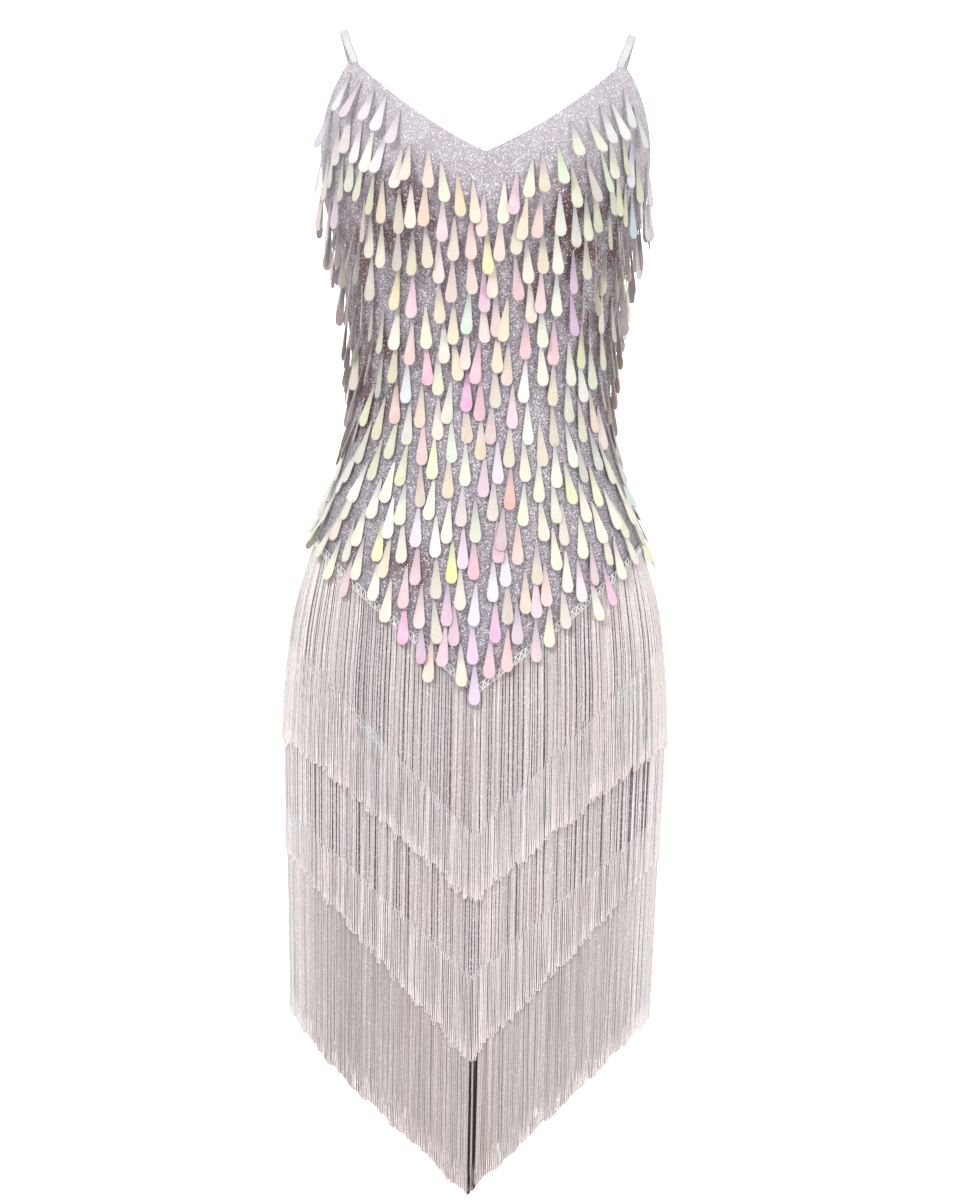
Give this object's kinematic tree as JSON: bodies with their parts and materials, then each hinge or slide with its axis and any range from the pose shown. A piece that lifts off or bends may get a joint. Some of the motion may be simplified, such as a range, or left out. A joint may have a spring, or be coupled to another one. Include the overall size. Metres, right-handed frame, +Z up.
{
  "type": "fringed tango dress",
  "caption": "Hollow camisole dance dress with a V neck, thin shoulder straps, V-shaped tiers of long fringe and a pointed hem.",
  "frame": {"origin": "midway between the tops of the two shoulder straps, where the wearer's shoulders carry the dress", "axes": "+Z up, +X to the right of someone who looks at the front, and the front faces -Y"},
  "size_m": [0.3542, 0.2435, 1.0512],
  "materials": {
    "glitter_knit": "lilac grey knit with silver glitter and pearly teardrop paillettes",
    "clear_strap": "clear to white, smooth and glossy",
    "fringe": "silky warm grey ivory fringe under a silver white braid"
  },
  "bodies": {
    "root": {"front_panel": "glitter_knit", "back_panel": "glitter_knit", "strap_left": "clear_strap", "strap_right": "clear_strap", "fringe_tier_1_front": "fringe", "fringe_tier_1_back": "fringe", "fringe_tier_2_front": "fringe", "fringe_tier_2_back": "fringe", "fringe_tier_3_front": "fringe", "fringe_tier_3_back": "fringe"}
  },
  "joints": []
}
